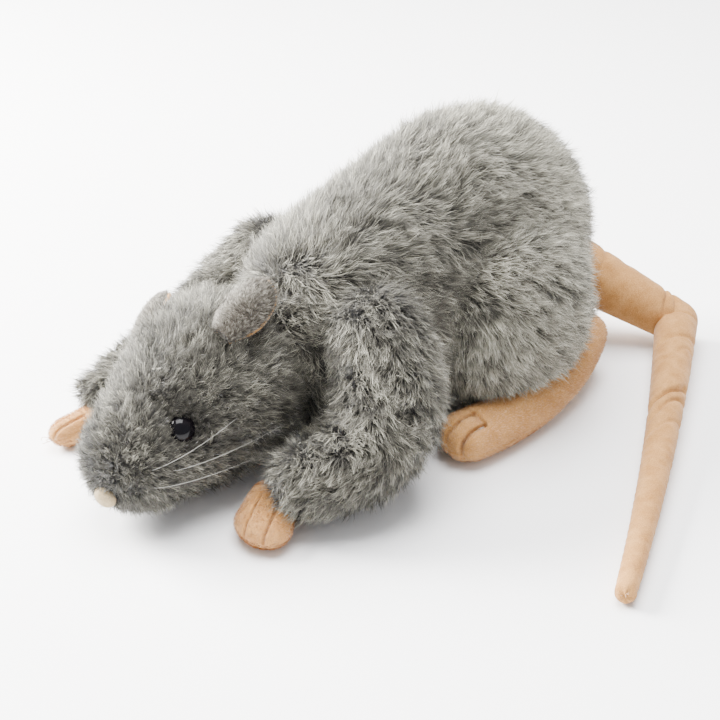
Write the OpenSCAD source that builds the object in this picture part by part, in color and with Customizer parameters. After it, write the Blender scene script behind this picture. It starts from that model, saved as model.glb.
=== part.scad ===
// Plush rat lying on its belly: fur panels, velour paws, feet, ears and tail,
// with a separate core of stuffing in each sewn part.
// The rat faces -X, its left side is -Y, +Z is up. Origin: centre of the flat belly.

/* [Torso] */
// Height of the rump above the table
rump_h = 152; // [146:1:158]
// Width across the rump, without the haunches
rump_w = 112; // [106:1:116]
// Height of the shoulders above the table
shoulder_h = 122; // [116:1:126]
// Width across the chest, without the arms
chest_w = 106; // [100:1:110]
// Distance from the chest's middle to the rump's middle
torso_l = 76; // [70:1:80]

/* [Fabric] */
// Thickness of the fur fabric with its pile
fur_t = 9; // [7:0.5:10]
// Thickness of the short velour
velour_t = 1.6; // [1.2:0.2:2]
// Air between one fabric and the stuffing inside it
slack = 0.2; // [0.1:0.1:0.4]
// Air between parts that move past each other
gap = 0.6; // [0.5:0.1:1]

/* [Head] */
// Radius of the round back of the head, which turns in the neck
neck_r = 44; // [42:0.5:45]
// Radius of the blunt muzzle
muzzle_r = 30; // [28:0.5:31]
// Turn of the head towards the rat's left
head_yaw = 15; // [12:1:18]
// Tilt of the nose towards the table
head_pitch = -9; // [-11:1:-7]
// Lean of the head onto its right cheek
head_roll = -25; // [-28:1:-22]
// Radius of an eye's dome
eye_r = 6.5; // [6:0.25:7]

/* [Limbs] */
// Radius of an arm's fur sleeve at the elbow
elbow_r = 31; // [29:0.5:32]
// Half the thickness of a front paw
paw_r = 7; // [6:0.5:8]
// Half the thickness of a hind foot
foot_r = 12; // [11:0.5:12.5]
// Height of a haunch above the table
haunch_h = 108; // [104:1:110]

/* [Tail] */
// Radius of the tail at its root
tail_root_r = 18; // [16.5:0.5:18.5]
// Radius of the tail at its crease
tail_fold_r = 12.5; // [11:0.5:13]
// Radius of the tail at its tip
tail_tip_r = 5.5; // [4.5:0.5:6]

/* [Hidden] */

LEFT = -1;
RIGHT = 1;
far = 400;
steps = 8;
facets = 18;
limb_facets = 12;

fur_grey = [0.50, 0.49, 0.46];
belly_grey = [0.56, 0.55, 0.51];
velour_tan = [0.83, 0.66, 0.49];
ear_brown = [0.52, 0.47, 0.42];
fibre_white = [0.93, 0.92, 0.89];

// Torso: an ellipsoid at the chest and one at the rump, both sunk a little into the table.
sunk = 10;
chest_size = [60, chest_w / 2, (shoulder_h + sunk) / 2];
rump_size = [80, rump_w / 2, (rump_h + sunk) / 2];
chest_at = [4, 0, shoulder_h - chest_size[2]];
rump_at = [chest_at[0] + torso_l, 0, rump_h - rump_size[2]];
belly_seam_z = 14;

// Head, in a frame of its own that faces -X before it is turned.
head_at = [-80, 2, 43];
neck_at = [10, 0, 0];
muzzle_at = [-46, 0, -4];
ear_sweep_r = neck_r + 22;
ear_sweep_rise = 16;
gusset_half = 13;
chin_z = -16;
nose_at = [-74, 0, -10];
nose_size = [4, 7, 5.5];
eye_on_axis = [-33, 0, -3];
eye_turn = [-14, 10];
eye_depth = 24;
eye_dome = 0.8;
stem_r = 2;
stem_l = 9;
washer_r = 7;
washer_t = 1.4;
washer_sunk = 4;
press_fit = 0.05;
ear_size = [30, 9.5, 7];
ear_layers = [2.4, 4, 6];
ear_base = [7, 33, 28];
ear_turn = [44, -12, 12];

whisker_leans = [14, 26, 38];
whisker_sweep = 38;
whisker_l = 42;
whisker_r = 0.4;

// Arms: shoulder, elbow and wrist of each sleeve, then the paw's heel and toes.
arm_left = [[-12, -46, 74], [-16, -84, 31], [-66, -64, 23]];
arm_right = [[-4, 57, 71], [-43, 82, 23], [-100, 66, 18]];
arm_sizes_left = [28, elbow_r, 22];
arm_sizes_right = [25, elbow_r - 9, 17];
paw_left = [[-78, -55, 12], [-90, -63, 8]];
paw_right = [[-112, 60, 10], [-123, 60, 8]];
paw_sizes_left = [[11, 14, paw_r], [12.5, 16, paw_r]];
paw_sizes_right = [[10, 8, paw_r], [12, 8.5, paw_r]];

// Haunches and hind feet, for the left side.
haunch_size = [50, 34, 54];
haunch_at = [74, 46, haunch_h - haunch_size[2]];
haunch_low = 6;
foot_line = [[28, 68, foot_r], [90, 72, foot_r + 1], [132, 44, 24]];
foot_sizes = [[15, 16, foot_r], [17, 15, foot_r + 1], [14, 14, foot_r]];

// Tail: root, crease, middle and tip.
tail_root_at = [156, -3, 44];
tail_fold_at = [196, -54, 14];
tail_mid_at = [98, -134, 9];
tail_tip_at = [9, -192, tail_tip_r + 0.5];
tail_mid_r = 8;
tail_socket_r = tail_root_r + 3;
crease_gap = tail_fold_r + 2;
crease_open = tail_fold_r / 2;

function mix(a, b, t) = a + (b - a) * t;
function bend(a, b, c, t) = mix(mix(a, b, t), mix(b, c, t), t);

// An ellipsoid, made smaller all round by inset.
module ball(at, size, inset, sides = limb_facets) {
    translate(at)
        scale(size - [inset, inset, inset])
            sphere(1, $fn = sides);
}

module above(z) {
    translate([-far, -far, z])
        cube([2 * far, 2 * far, far]);
}

module below(z) {
    translate([-far, -far, z - far])
        cube([2 * far, 2 * far, far]);
}

module beside(side, y = 0) {
    scale([1, side, 1])
        translate([-far, y, -far])
            cube([2 * far, far, 2 * far]);
}

// A rounded limb through three points, lofted in short steps.
module limb(points, sizes, inset) {
    for (i = [0 : steps - 1])
        hull()
            for (t = [i / steps, (i + 1) / steps])
                ball(bend(points[0], points[1], points[2], t),
                    [1, 1, 1] * bend(sizes[0], sizes[1], sizes[2], t), inset);
}

// ---- Torso ----

module torso_form(inset) {
    intersection() {
        union()
            for (i = [0 : steps - 1])
                hull()
                    for (t = [i / steps, (i + 1) / steps])
                        ball(mix(chest_at, rump_at, t), mix(chest_size, rump_size, t), inset, facets);
        above(max(inset, 0));
    }
}

// The room that the head, its ears and the tail's root turn in.
module torso_hollows() {
    head_frame()
        translate(neck_at)
            sphere(neck_r + gap, $fn = 32);
    intersection() {
        head_frame()
            translate(neck_at)
                sphere(ear_sweep_r, $fn = 32);
        above(head_at[2] + ear_sweep_rise);
    }
    translate(tail_root_at)
        sphere(tail_socket_r, $fn = 24);
}

module torso_skin() {
    difference() {
        torso_form(0);
        torso_form(fur_t);
        torso_hollows();
    }
}

module body_fur(side) {
    color(fur_grey)
        intersection() {
            torso_skin();
            beside(side);
            above(belly_seam_z);
        }
}

module belly_panel() {
    color(belly_grey)
        intersection() {
            torso_skin();
            below(belly_seam_z);
        }
}

module body_stuffing() {
    color(fibre_white)
        difference() {
            torso_form(fur_t + slack);
            torso_hollows();
        }
}

// ---- Head ----

module head_frame() {
    translate(head_at)
        rotate([head_roll, head_pitch, head_yaw])
            children();
}

module head_form(inset) {
    intersection() {
        head_frame() {
            for (i = [0 : steps - 1])
                hull()
                    for (t = [i / steps, (i + 1) / steps])
                        ball(mix(neck_at, muzzle_at, t), [1, 1, 1] * mix(neck_r, muzzle_r, t), inset, facets);
        }
        above(max(inset, 0));
    }
}

// Puts its children at an eye, with +Z pointing out of the head.
module eye_frame(side) {
    head_frame()
        translate(eye_on_axis)
            rotate([side * -(90 - eye_turn[1]), eye_turn[0], 0])
                translate([0, 0, eye_depth])
                    children();
}

module eye_pocket(side) {
    eye_frame(side) {
        cylinder(h = far / 8, r = eye_r + 1, $fn = 32);
        translate([0, 0, -stem_l - 1])
            cylinder(h = stem_l + 2, r = stem_r + slack, $fn = 24);
    }
}

module washer_pocket(side) {
    eye_frame(side)
        translate([0, 0, -stem_l - 1])
            cylinder(h = far / 8, r = washer_r + 1, $fn = 32);
}

module nose_form(inset) {
    head_frame()
        ball(nose_at, nose_size, inset);
}

module head_skin() {
    difference() {
        head_form(0);
        head_form(fur_t);
        eye_pocket(LEFT);
        eye_pocket(RIGHT);
        nose_form(-slack);
    }
}

module head_fur(side) {
    color(fur_grey)
        intersection() {
            head_skin();
            head_frame()
                difference() {
                    beside(side);
                    below(chin_z);
                    translate([-far, -gusset_half, 0])
                        cube([2 * far, 2 * gusset_half, far]);
                }
        }
}

module head_gusset() {
    color(fur_grey)
        intersection() {
            head_skin();
            head_frame()
                translate([-far, -gusset_half, 0])
                    cube([2 * far, 2 * gusset_half, far]);
        }
}

module chin_panel() {
    color(belly_grey)
        intersection() {
            head_skin();
            head_frame()
                below(chin_z);
        }
}

module head_stuffing() {
    color(fibre_white)
        difference() {
            head_form(fur_t + slack);
            washer_pocket(LEFT);
            washer_pocket(RIGHT);
            nose_form(-slack);
        }
}

module nose() {
    color(velour_tan)
        nose_form(0);
}

module eye(side) {
    color([0.03, 0.03, 0.035])
        eye_frame(side) {
            intersection() {
                scale([1, 1, eye_dome])
                    sphere(eye_r, $fn = 48);
                translate([0, 0, far / 2])
                    cube(far, center = true);
            }
            translate([0, 0, -stem_l])
                cylinder(h = stem_l, r = stem_r, $fn = 32);
        }
}

module eye_washer(side) {
    color([0.9, 0.9, 0.9])
        eye_frame(side)
            translate([0, 0, -washer_t - washer_sunk])
                difference() {
                    cylinder(h = washer_t, r = washer_r, $fn = 48);
                    translate([0, 0, -1])
                        cylinder(h = washer_t + 2, r = stem_r + press_fit, $fn = 32);
                }
}

// Puts its children at an ear's base: +X to the tip, +Z out of the back of the ear.
module ear_frame(side) {
    head_frame()
        translate([ear_base[0], side * ear_base[1], ear_base[2]])
            rotate([side * -ear_turn[0], ear_turn[1], side * ear_turn[2]])
                children();
}

module ear_leaf(bottom, top) {
    translate([0, 0, bottom])
        linear_extrude(height = top - bottom)
            hull() {
                translate([2, 0])
                    circle(ear_size[2], $fn = 32);
                translate([ear_size[0] - ear_size[1], 0])
                    circle(ear_size[1], $fn = 32);
            }
}

module ear_back(side) {
    color(ear_brown)
        ear_frame(side)
            ear_leaf(ear_layers[1], ear_layers[2]);
}

module ear_lining(side) {
    color(velour_tan)
        ear_frame(side)
            ear_leaf(ear_layers[0], ear_layers[1]);
}

module whiskers(side) {
    color(fibre_white)
        head_frame()
            translate(muzzle_at)
                for (lean = whisker_leans)
                    rotate([side * -(90 - lean), whisker_sweep, 0])
                        translate([0, 0, muzzle_r + fur_t])
                            cylinder(h = whisker_l, r = whisker_r, $fn = 16);
}

// ---- Arms ----

function arm_of(side) = side == LEFT ? arm_left : arm_right;
function arm_sizes_of(side) = side == LEFT ? arm_sizes_left : arm_sizes_right;
function paw_of(side) = side == LEFT ? paw_left : paw_right;

module paw_form(side, inset) {
    paw = paw_of(side);
    sizes = side == LEFT ? paw_sizes_left : paw_sizes_right;
    hull() {
        ball(paw[0], sizes[0], inset);
        ball(paw[1], sizes[1], inset);
    }
}

module arm_form(side, inset) {
    intersection() {
        limb(arm_of(side), arm_sizes_of(side), inset);
        above(max(inset, 0));
    }
}

// What an arm keeps clear of: the torso, the haunch behind it and its own paw.
module round_the_arm(side) {
    torso_form(-gap);
    haunch_form(side, -gap);
    paw_form(side, -slack);
}

module arm_fur(side) {
    color(fur_grey)
        difference() {
            arm_form(side, 0);
            arm_form(side, fur_t);
            round_the_arm(side);
        }
}

module arm_stuffing(side) {
    color(fibre_white)
        difference() {
            arm_form(side, fur_t + slack);
            round_the_arm(side);
        }
}

module paw_skin(side) {
    difference() {
        paw_form(side, 0);
        paw_form(side, velour_t);
    }
}

module paw_top(side) {
    color(velour_tan)
        intersection() {
            paw_skin(side);
            above(paw_of(side)[0][2]);
        }
}

module paw_sole(side) {
    color(velour_tan)
        intersection() {
            paw_skin(side);
            below(paw_of(side)[0][2]);
        }
}

module paw_stuffing(side) {
    color(fibre_white)
        paw_form(side, velour_t + slack);
}

// ---- Haunches and hind feet ----

module foot_form(side, inset) {
    line = [for (p = foot_line) [p[0], side * p[1], p[2]]];
    for (i = [0 : steps - 1])
        hull()
            for (t = [i / steps, (i + 1) / steps])
                ball(bend(line[0], line[1], line[2], t),
                    bend(foot_sizes[0], foot_sizes[1], foot_sizes[2], t), inset);
}

module haunch_form(side, inset) {
    at = [haunch_at[0], side * haunch_at[1], haunch_at[2]];
    intersection() {
        ball(at, haunch_size, inset, facets);
        above(haunch_low + inset);
    }
}

module haunch_fur(side) {
    color(fur_grey)
        difference() {
            haunch_form(side, 0);
            haunch_form(side, fur_t);
            torso_form(-gap);
            foot_form(side, -slack);
        }
}

module haunch_stuffing(side) {
    color(fibre_white)
        difference() {
            haunch_form(side, fur_t + slack);
            torso_form(-gap);
            foot_form(side, -slack);
        }
}

module foot_skin(side) {
    difference() {
        foot_form(side, 0);
        foot_form(side, velour_t);
        torso_form(-gap);
    }
}

module foot_top(side) {
    color(velour_tan)
        intersection() {
            foot_skin(side);
            above(foot_r);
        }
}

module foot_sole(side) {
    color(velour_tan)
        intersection() {
            foot_skin(side);
            below(foot_r);
        }
}

module foot_stuffing(side) {
    color(fibre_white)
        difference() {
            foot_form(side, velour_t + slack);
            torso_form(-gap);
        }
}

// ---- Tail ----

module tail_root_form(inset) {
    limb([tail_root_at, mix(tail_root_at, tail_fold_at, 0.5), tail_fold_at],
        [tail_root_r, mix(tail_root_r, tail_fold_r, 0.5), tail_fold_r], inset);
}

module tail_end_form(inset) {
    limb([tail_fold_at, tail_mid_at, tail_tip_at], [tail_fold_r, tail_mid_r, tail_tip_r], inset);
}

// Half-space that starts at the crease, short by a stretch, and runs along the given direction.
module past_crease(along, short) {
    translate(tail_fold_at)
        rotate([0, 0, atan2(along[1], along[0])])
            translate([-short, -far / 2, -far / 2])
                cube(far);
}

// The two covers are open at the crease, where they are sewn to each other.
module tail_root_cover() {
    color(velour_tan)
        difference() {
            tail_root_form(0);
            tail_root_form(velour_t);
            past_crease(tail_fold_at - tail_root_at, crease_gap);
        }
}

module tail_root_stuffing() {
    color(fibre_white)
        difference() {
            tail_root_form(velour_t + slack);
            past_crease(tail_fold_at - tail_root_at, crease_gap);
        }
}

module tail_end_cover() {
    color(velour_tan)
        difference() {
            tail_end_form(0);
            tail_end_form(velour_t);
            past_crease(tail_fold_at - tail_mid_at, -crease_open);
        }
}

module tail_end_stuffing() {
    color(fibre_white)
        tail_end_form(velour_t + slack);
}

body_fur(LEFT);  // body_fur_left
body_fur(RIGHT);  // body_fur_right
belly_panel();
body_stuffing();
head_fur(LEFT);  // head_fur_left
head_fur(RIGHT);  // head_fur_right
head_gusset();
chin_panel();
head_stuffing();
nose();
eye(LEFT);  // eye_left
eye(RIGHT);  // eye_right
eye_washer(LEFT);  // eye_washer_left
eye_washer(RIGHT);  // eye_washer_right
ear_back(LEFT);  // ear_back_left
ear_back(RIGHT);  // ear_back_right
ear_lining(LEFT);  // ear_lining_left
ear_lining(RIGHT);  // ear_lining_right
whiskers(LEFT);  // whiskers_left
whiskers(RIGHT);  // whiskers_right
arm_fur(LEFT);  // arm_fur_left
arm_fur(RIGHT);  // arm_fur_right
arm_stuffing(LEFT);  // arm_stuffing_left
arm_stuffing(RIGHT);  // arm_stuffing_right
paw_top(LEFT);  // paw_top_left
paw_top(RIGHT);  // paw_top_right
paw_sole(LEFT);  // paw_sole_left
paw_sole(RIGHT);  // paw_sole_right
paw_stuffing(LEFT);  // paw_stuffing_left
paw_stuffing(RIGHT);  // paw_stuffing_right
haunch_fur(LEFT);  // haunch_fur_left
haunch_fur(RIGHT);  // haunch_fur_right
haunch_stuffing(LEFT);  // haunch_stuffing_left
haunch_stuffing(RIGHT);  // haunch_stuffing_right
foot_top(LEFT);  // foot_top_left
foot_top(RIGHT);  // foot_top_right
foot_sole(LEFT);  // foot_sole_left
foot_sole(RIGHT);  // foot_sole_right
foot_stuffing(LEFT);  // foot_stuffing_left
foot_stuffing(RIGHT);  // foot_stuffing_right
tail_root_cover();
tail_root_stuffing();
tail_end_cover();
tail_end_stuffing();
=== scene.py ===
"""A plush rat lying on its belly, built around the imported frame. Metres, +Z up, the rat faces -X."""
import math

import bpy
import numpy as np
from mathutils import Matrix, Vector


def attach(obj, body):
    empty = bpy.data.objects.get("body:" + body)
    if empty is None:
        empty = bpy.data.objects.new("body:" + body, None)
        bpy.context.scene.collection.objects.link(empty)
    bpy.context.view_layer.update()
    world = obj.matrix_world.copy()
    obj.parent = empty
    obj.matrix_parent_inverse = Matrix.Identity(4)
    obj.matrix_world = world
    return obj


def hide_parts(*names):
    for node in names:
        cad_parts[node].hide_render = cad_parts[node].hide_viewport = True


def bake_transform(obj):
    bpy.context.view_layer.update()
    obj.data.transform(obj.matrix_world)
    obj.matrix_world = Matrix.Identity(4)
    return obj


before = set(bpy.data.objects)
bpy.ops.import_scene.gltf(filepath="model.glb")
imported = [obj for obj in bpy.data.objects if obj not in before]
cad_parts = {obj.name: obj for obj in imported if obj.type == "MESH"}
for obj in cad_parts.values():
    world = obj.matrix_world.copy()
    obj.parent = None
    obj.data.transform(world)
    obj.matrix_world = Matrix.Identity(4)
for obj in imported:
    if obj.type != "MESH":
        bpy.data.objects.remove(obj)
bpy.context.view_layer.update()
MM = 0.001

# ---------------------------------------------------------------- shape, in millimetres
PILE_DEPTH = 8.0  # the fabric's backing lies this far inside the pile's tips
CHEST_SIZE = (60, 53, 66)
CHEST_AT = (4, 0, 56)
RUMP_SIZE = (80, 56, 81)
RUMP_AT = (80, 0, 71)
HAUNCH_SIZE = (50, 34, 54)
HAUNCH_AT = (74, 46, 54)
HEAD_AT = (-80, 2, 43)
HEAD_TURN = (-25, -9, 15)  # lean, tilt and turn, in degrees
NECK_AT = (10, 0, 0)
NECK_R = 44
MUZZLE_AT = (-46, 0, -4)
MUZZLE_R = 30
NOSE_AT = (-74, 0, -10)
NOSE_RADII = (3.4, 6.6, 5.4)
NOSE_STITCH_DEPTH = 0.5
EYE_ON_AXIS = (-33, 0, -3)
EYE_TILT = -14
EYE_RISE = 10
EYE_DEPTH = 24
EAR_BASE = (7, 33, 28)
EAR_TURN = (-44, -12, 12)
EAR_LENGTH = 32
EAR_HALF_WIDTH = 13.5
ARMS = {
    "left": {
        "line": [(-12, -46, 74), (-16, -84, 31), (-66, -64, 23)],
        "sizes": (28, 31, 22),
        "paw": [(-78, -55, 12), (-90, -63, 8)],
        "paw_sizes": [(11, 14, 7), (12.5, 16, 7)],
    },
    "right": {
        "line": [(-4, 57, 71), (-43, 82, 23), (-100, 66, 18)],
        "sizes": (25, 22, 17),
        "paw": [(-112, 60, 10), (-123, 60, 8)],
        "paw_sizes": [(10, 8, 7), (12, 8.5, 7)],
    },
}
FOOT_LINE = [(28, 68, 12), (90, 72, 13), (132, 44, 24)]
FOOT_SIZES = [(15, 16, 12), (17, 15, 13), (14, 14, 12)]
TOES_ASIDE = 3.5  # the toes are turned a little outwards
TAIL_ROOT = (156, -3, 44)
TAIL_FOLD = (196, -54, 14)
TAIL_MID = (98, -134, 9)
TAIL_TIP = (9, -192, 6)
TAIL_RADII = (18, 12.5, 8, 5.5)
SIDES = {"left": -1, "right": 1}
FLOOR_CLEAR = 0.4 * MM
CLOTH_SCALE = 10
CLOTH_FRAMES = 14
HELD_FROM = 0.3  # a sewing line that is fainter than this doesn't hold the cloth
NAP_LENGTH = 1.25  # millimetres
EAR_RIM_R = 1.15  # millimetres
LINING_GROWN = 0.9  # the ear's lining is this much larger than its back, in millimetres
CREASE_DEPTH = 1.2  # millimetres, for a tail crease of strength 1
MIDDLE_SHADE = 0.32  # from 0, the darkest hair, to 1, the palest
HAIR_SPREAD = 0.38  # how much the shade differs from hair to hair
TUFT_SPREAD = 0.38  # and from tuft to tuft

# ---------------------------------------------------------------- small helpers


def vec(p):
    return np.array(p, dtype=float)


def mix(a, b, t):
    return vec(a) + (vec(b) - vec(a)) * t


def bend(a, b, c, t):
    return mix(mix(a, b, t), mix(b, c, t), t)


def smooth(x, low, high):
    t = np.clip((x - low) / (high - low), 0, 1)
    return t * t * (3 - 2 * t)


def unit(v):
    return v / np.maximum(np.linalg.norm(v, axis=-1, keepdims=True), 1e-12)


def rotation(turn):
    lean, tilt, yaw = (math.radians(a) for a in turn)
    return np.array(
        Matrix.Rotation(yaw, 3, "Z") @ Matrix.Rotation(tilt, 3, "Y") @ Matrix.Rotation(lean, 3, "X")
    )


HEAD_ROT = rotation(HEAD_TURN)


def head_point(p):
    """A point in the head's own frame, in millimetres, placed in the rat's frame in millimetres."""
    return HEAD_ROT @ vec(p) + vec(HEAD_AT)


def cheek_point(side, along, rise, depth):
    """A point beside the head's axis: rise is its angle above the head's own level."""
    out = rotation((SIDES[side] * -(90 - rise), EYE_TILT, 0)) @ vec((0, 0, depth))
    return head_point(vec((along, EYE_ON_AXIS[1], EYE_ON_AXIS[2])) + out)


def near(points, centre, radius):
    """1 at the centre, falling smoothly to 0 away from it. points are in metres, the rest in millimetres."""
    gap = np.linalg.norm(points / MM - vec(centre), axis=1)
    return np.exp(-((gap / radius) ** 2))


def near_line(points, a, b, radius):
    """As near(), but around the line from a to b."""
    p, a, b = points / MM, vec(a), vec(b)
    t = np.clip(((p - a) @ (b - a)) / ((b - a) @ (b - a)), 0, 1)[:, None]
    return np.exp(-((np.linalg.norm(p - a - (b - a) * t, axis=1) / radius) ** 2))


def wavy(points, scale, seed, terms=7):
    """A smooth random vector field: a few sine waves in random directions. points are in metres."""
    rng = np.random.default_rng(seed)
    out = np.zeros_like(points)
    for axis in range(3):
        for _ in range(terms):
            k = unit(rng.normal(size=3)) / (scale * rng.uniform(0.6, 1.6)) * math.tau
            out[:, axis] += np.sin(points @ k + rng.uniform(0, math.tau))
    return out / math.sqrt(terms / 2)


def link(obj):
    bpy.context.scene.collection.objects.link(obj)
    return obj


def baked(obj, name):
    """A new object that holds obj's mesh with its modifiers applied. obj is removed."""
    graph = bpy.context.evaluated_depsgraph_get()
    mesh = bpy.data.meshes.new_from_object(obj.evaluated_get(graph))
    bpy.data.objects.remove(obj)
    new = link(bpy.data.objects.new(name, mesh))
    mesh.name = name
    return new


def coords(obj):
    out = np.empty(len(obj.data.vertices) * 3)
    obj.data.vertices.foreach_get("co", out)
    return out.reshape(-1, 3)


def normals(obj):
    out = np.empty(len(obj.data.vertices) * 3)
    obj.data.vertices.foreach_get("normal", out)
    return out.reshape(-1, 3)


def set_coords(obj, points):
    obj.data.vertices.foreach_set("co", np.ascontiguousarray(points).ravel())
    obj.data.update()


def carried(obj, body):
    """Puts obj on a body, or, where body is (body, next body, start, end), bakes its place into its mesh and
    leaves it on no body; nothing bends it.
    """
    if isinstance(body, tuple):
        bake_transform(obj)
    else:
        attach(obj, body)


def ball_mesh(segments=24, rings=12):
    """Corners and faces of a unit ball."""
    pts = [(0, 0, -1)]
    for i in range(1, rings):
        a = math.pi * i / rings - math.pi / 2
        for j in range(segments):
            b = math.tau * j / segments
            pts.append((math.cos(a) * math.cos(b), math.cos(a) * math.sin(b), math.sin(a)))
    pts.append((0, 0, 1))
    top = len(pts) - 1
    faces = [(0, 1 + (j + 1) % segments, 1 + j) for j in range(segments)]
    for i in range(rings - 2):
        for j in range(segments):
            a, b = 1 + i * segments + j, 1 + i * segments + (j + 1) % segments
            faces.append((a, b, b + segments, a + segments))
    last = 1 + (rings - 2) * segments
    faces += [(last + j, last + (j + 1) % segments, top) for j in range(segments)]
    return np.array(pts), faces


BALL_POINTS, BALL_FACES = ball_mesh()


class Form:
    """A rounded solid made of ellipsoids: their middles, radii and a shared rotation. Millimetres."""

    def __init__(self, balls, turn=None):
        self.centres = np.array([b[0] for b in balls], dtype=float)
        self.radii = np.array([b[1] for b in balls], dtype=float)
        self.turn = np.eye(3) if turn is None else turn

    def inside(self, points, inset=0.0):
        """Which of the points, in metres, lie inside the form."""
        found = np.zeros(len(points), dtype=bool)
        for c, r in zip(self.centres, self.radii):
            local = (points / MM - c) @ self.turn
            found |= ((local / np.maximum(r - inset, 1)) ** 2).sum(axis=1) < 1
        return found

    def skin(self, name, inset, voxel, rounds, floor=None):
        """A closed mesh around the form, made smaller by inset, cut flat where it lies on the floor."""
        points, faces = [], []
        for c, r in zip(self.centres, self.radii):
            faces += [tuple(i + len(points) * len(BALL_POINTS) for i in f) for f in BALL_FACES]
            points.append((BALL_POINTS * (r - inset)) @ self.turn.T + c)
        mesh = bpy.data.meshes.new(name)
        mesh.from_pydata((np.vstack(points) * MM).tolist(), [], faces)
        obj = link(bpy.data.objects.new(name + "_raw", mesh))
        remesh = obj.modifiers.new("remesh", "REMESH")
        remesh.mode = "VOXEL"
        remesh.voxel_size = voxel * MM
        relax = obj.modifiers.new("relax", "SMOOTH")
        relax.factor = 0.5
        relax.iterations = rounds
        obj = baked(obj, name)
        if floor is not None:
            p = coords(obj)
            low = floor * MM
            p[:, 2] = np.where(p[:, 2] < low + 6 * MM, low + np.maximum(p[:, 2] - low, 0) ** 2 / (12 * MM)
                               + 3 * MM * smooth(p[:, 2], low, low + 6 * MM), p[:, 2])
            set_coords(obj, p)
        obj.data.polygons.foreach_set("use_smooth", [True] * len(obj.data.polygons))
        return obj


def loft(start, end, steps=16):
    """Ellipsoids between two: each is (middle, radii)."""
    return [(mix(start[0], end[0], t), mix(start[1], end[1], t)) for t in np.linspace(0, 1, steps)]


def limb(line, sizes, steps=18):
    """Ellipsoids along a bend through three points."""
    sizes = [vec(s) * np.ones(3) for s in sizes]
    return [(bend(*line, t), bend(*sizes, t)) for t in np.linspace(0, 1, steps)]


# ---------------------------------------------------------------- materials


def new_material(name, roughness, **plain):
    """A material with a Principled shader whose uniform values are set on its own sockets."""
    mat = bpy.data.materials.new(name)
    mat.use_nodes = True
    shader = mat.node_tree.nodes["Principled BSDF"]
    shader.inputs["Roughness"].default_value = roughness
    for key, value in plain.items():
        shader.inputs[key.replace("_", " ")].default_value = value
    return mat, mat.node_tree, shader


def ramp(tree, stops):
    node = tree.nodes.new("ShaderNodeValToRGB")
    node.color_ramp.elements[0].position = stops[0][0]
    node.color_ramp.elements[0].color = (*stops[0][1], 1)
    node.color_ramp.elements[1].position = stops[-1][0]
    node.color_ramp.elements[1].color = (*stops[-1][1], 1)
    for place, colour in stops[1:-1]:
        node.color_ramp.elements.new(place).color = (*colour, 1)
    return node


def noise(tree, size_mm, detail=3.0, rough=0.55):
    """A noise texture in the object's own coordinates, with features of about size_mm."""
    place = tree.nodes.new("ShaderNodeTexCoord")
    node = tree.nodes.new("ShaderNodeTexNoise")
    node.inputs["Scale"].default_value = 1 / (size_mm * MM)
    node.inputs["Detail"].default_value = detail
    node.inputs["Roughness"].default_value = rough
    tree.links.new(place.outputs["Object"], node.inputs["Vector"])
    return node


def bump(tree, shader, height, strength, depth_mm):
    node = tree.nodes.new("ShaderNodeBump")
    node.inputs["Strength"].default_value = strength
    node.inputs["Distance"].default_value = depth_mm * MM
    tree.links.new(height, node.inputs["Height"])
    tree.links.new(node.outputs["Normal"], shader.inputs["Normal"])


def mixed(tree, a, b, factor, mode="MIX"):
    node = tree.nodes.new("ShaderNodeMix")
    node.data_type = "RGBA"
    node.blend_type = mode
    for socket, value in ((node.inputs[0], factor), (node.inputs[6], a), (node.inputs[7], b)):
        if hasattr(value, "default_value"):
            tree.links.new(value, socket)
        else:
            socket.default_value = value
    return node.outputs[2]


def pile_material(name, dark, light):
    """Fur: each hair is dark at the root and pale at the tip, and hairs differ from each other."""
    mat, tree, shader = new_material(name, 0.6, Sheen_Weight=0.3, Sheen_Roughness=0.4, Specular_IOR_Level=0.3)
    uv = tree.nodes.new("ShaderNodeUVMap")
    uv.uv_map = "OFBake"
    parts = tree.nodes.new("ShaderNodeSeparateXYZ")
    tree.links.new(uv.outputs["UV"], parts.inputs[0])
    dark_ramp, light_ramp = ramp(tree, dark), ramp(tree, light)
    for node in (dark_ramp, light_ramp):
        tree.links.new(parts.outputs["Y"], node.inputs["Fac"])
    colour = mixed(tree, dark_ramp.outputs["Color"], light_ramp.outputs["Color"], parts.outputs["X"])
    tree.links.new(colour, shader.inputs["Base Color"])
    return mat


def cloth_material(name, low, high, grain_mm, patch_mm, depth_mm, roughness=0.9, sheen=0.4):
    """Short-napped fabric: brushed patches, a fine grain and a soft sheen."""
    mat, tree, shader = new_material(
        name, roughness, Sheen_Weight=sheen, Sheen_Roughness=0.45, Specular_IOR_Level=0.2
    )
    patch = noise(tree, patch_mm, 4)
    grain = noise(tree, grain_mm, 2)
    base = ramp(tree, [(0.32, low), (0.68, high)])
    tree.links.new(patch.outputs["Fac"], base.inputs["Fac"])
    fleck = ramp(tree, [(0.3, (0.62, 0.60, 0.58)), (0.7, (1.2, 1.2, 1.2))])
    tree.links.new(grain.outputs["Fac"], fleck.inputs["Fac"])
    colour = mixed(tree, base.outputs["Color"], fleck.outputs["Color"], 0.8, "MULTIPLY")
    tree.links.new(colour, shader.inputs["Base Color"])
    bump(tree, shader, grain.outputs["Fac"], 0.6, depth_mm)
    return mat


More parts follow.
